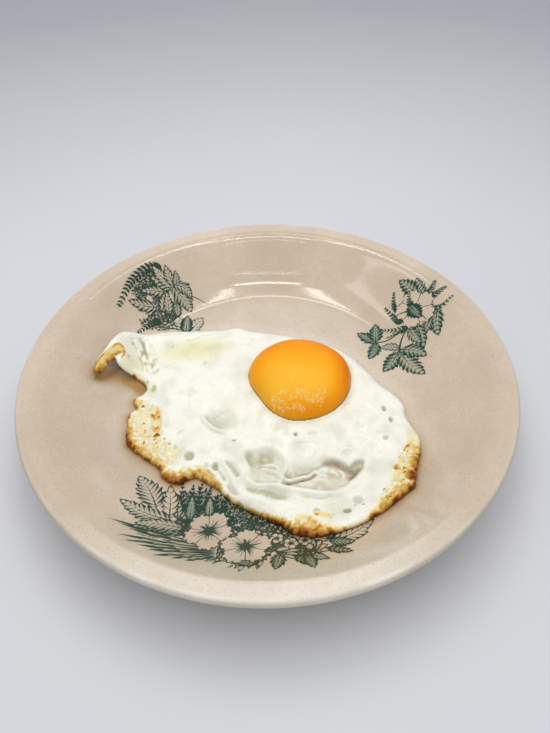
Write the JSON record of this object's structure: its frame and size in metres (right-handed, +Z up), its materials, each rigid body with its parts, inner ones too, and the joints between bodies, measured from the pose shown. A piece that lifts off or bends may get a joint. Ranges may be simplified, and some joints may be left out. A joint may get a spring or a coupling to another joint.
{
  "type": "fried egg on a plate",
  "caption": "Sunny-side-up fried egg with a domed orange yolk and lacy browned edges, lying in a shallow rimmed stoneware plate.",
  "frame": {"origin": "centre of the plate's foot ring, at table level", "axes": "+Z up out of the plate; the egg's hooked tail points along -X, its browned front edge faces -Y, and the yolk sits a little towards +X"},
  "size_m": [0.203, 0.203, 0.0292],
  "materials": {
    "stoneware_glaze": "glossy clear glaze over warm beige stoneware, with a dark green underglaze leaf and flower print",
    "cooked_white": "moist, satin, slightly translucent, browned and crisp at the edges",
    "yolk": "glossy wet skin, deep orange-yellow"
  },
  "bodies": {
    "root": {"plate": "stoneware_glaze", "egg_white": "cooked_white", "egg_yolk": "yolk"}
  },
  "joints": []
}
